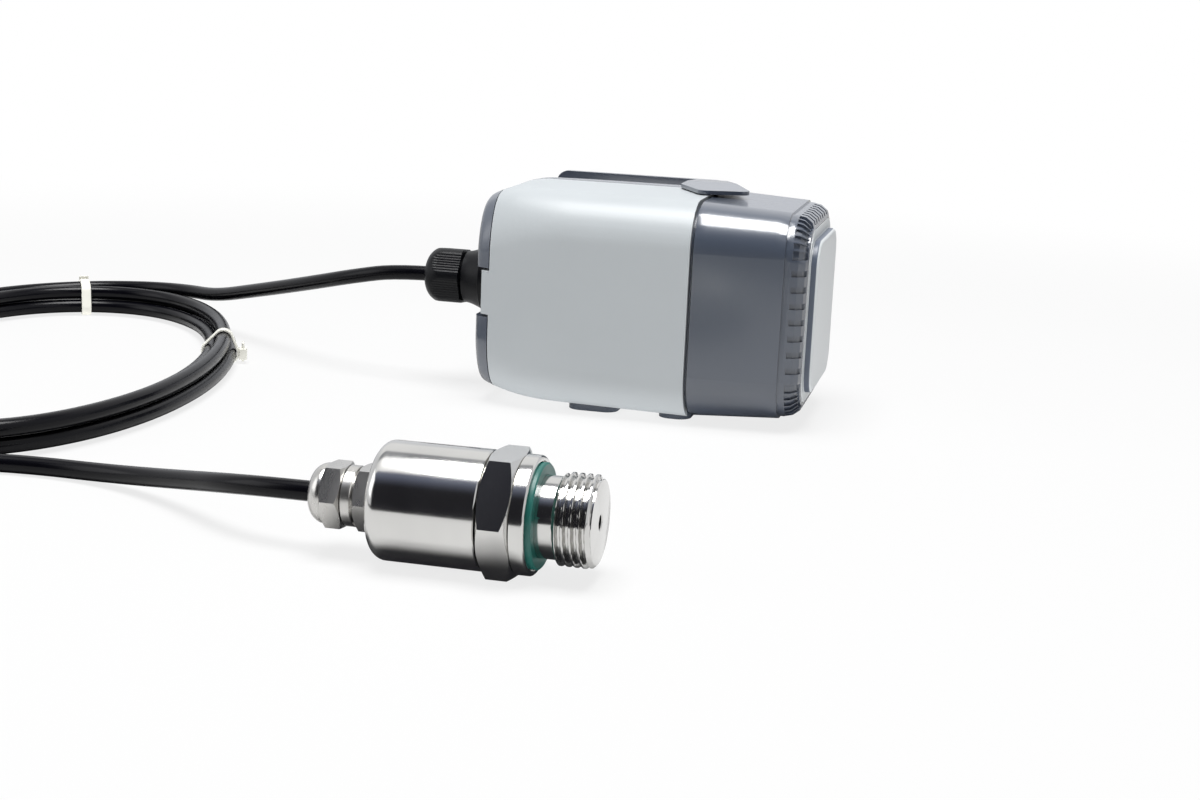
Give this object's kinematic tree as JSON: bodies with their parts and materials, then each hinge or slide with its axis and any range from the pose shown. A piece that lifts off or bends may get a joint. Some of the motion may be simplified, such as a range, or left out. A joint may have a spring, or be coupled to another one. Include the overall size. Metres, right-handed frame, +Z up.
{
  "type": "pipe pressure sensor",
  "caption": "Battery powered wireless pressure sensor for pipes: a grey sensor case with a wall bracket, joined by a tied black cable to a threaded stainless steel pressure probe.",
  "frame": {"origin": "on the floor under the middle of the box round the case and the probe, the cable left out", "axes": "+X along the probe's axis towards its threaded end and along the case towards its end plate, +Y from the probe to the case, +Z up"},
  "size_m": [0.3167, 0.2713, 0.0686],
  "materials": {
    "housing_plastic": "fine moulded satin, slate grey",
    "cover_plastic": "smooth satin, light grey",
    "plate_plastic": "smooth satin, pale grey",
    "gasket_rubber": "matt",
    "screw_steel": "plain zinc",
    "cell_wrap": "shrink sleeve",
    "cradle_plastic": "moulded",
    "circuit_board": "solder mask",
    "terminal_plastic": "moulded",
    "shield_steel": "tinned",
    "led_lens": "clear",
    "switch_plastic": "moulded",
    "gland_nylon": "moulded black nylon",
    "probe_steel": "turned and polished stainless steel",
    "seal_rubber": "matt dark green",
    "cable_jacket": "satin black jacket",
    "tie_nylon": "natural nylon"
  },
  "bodies": {
    "sensor": {"inner_housing": "housing_plastic", "near_side_cover": "cover_plastic", "far_side_cover": "housing_plastic", "cap_gasket": "gasket_rubber", "battery": "cell_wrap", "battery_cradle": "cradle_plastic", "main_board": "circuit_board", "terminal_block": "terminal_plastic", "radio_module": "shield_steel", "antenna": "circuit_board", "usb_socket": "shield_steel", "status_led": "led_lens", "button_switch": "switch_plastic", "case_gland_body": "gland_nylon", "case_gland_washer": "gasket_rubber", "case_gland_locknut": "gland_nylon", "case_gland_seal": "gasket_rubber", "process_connection": "probe_steel", "seal_ring": "seal_rubber", "body_tube": "probe_steel", "sensing_capsule": "probe_steel", "capsule_o_ring": "gasket_rubber", "retaining_ring": "probe_steel", "probe_board": "circuit_board", "probe_gland_washer": "gasket_rubber", "probe_gland_body": "probe_steel", "probe_gland_seal": "gasket_rubber", "cable_coil": "cable_jacket", "coil_ties": "tie_nylon", "cable_case_run": "cable_jacket", "cable_probe_run": "cable_jacket"},
    "bracket": {"mounting_bracket": "housing_plastic"},
    "cap": {"end_cap": "housing_plastic", "end_plate": "plate_plastic", "cap_screws": "screw_steel"},
    "button": {"power_button": "switch_plastic"},
    "case_nut": {"case_gland_nut": "gland_nylon"},
    "probe_nut": {"probe_gland_nut": "probe_steel"}
  },
  "joints": [
    {"name": "bracket_slide", "type": "slide", "parent": "sensor", "child": "bracket", "axis": [-1, 0, 0], "range_m": [0, 0.045]},
    {"name": "cap_removal", "type": "slide", "parent": "sensor", "child": "cap", "axis": [1, 0, 0], "range_m": [0, 0.04]},
    {"name": "button_press", "type": "slide", "parent": "sensor", "child": "button", "axis": [0, 0, -1], "range_m": [0, 0.0003], "stiffness_N_per_m": 2500, "springref_m": -0.0003},
    {"name": "case_nut_turn", "type": "hinge", "parent": "sensor", "child": "case_nut", "pos_m": [-0.05805, 0.08149, 0.0352], "axis": [1, 0, 0], "range_deg": [0, 180]},
    {"name": "probe_nut_turn", "type": "hinge", "parent": "sensor", "child": "probe_nut", "pos_m": [-0.02315, -0.10491, 0.0137], "axis": [1, 0, 0], "range_deg": [0, 180]}
  ]
}
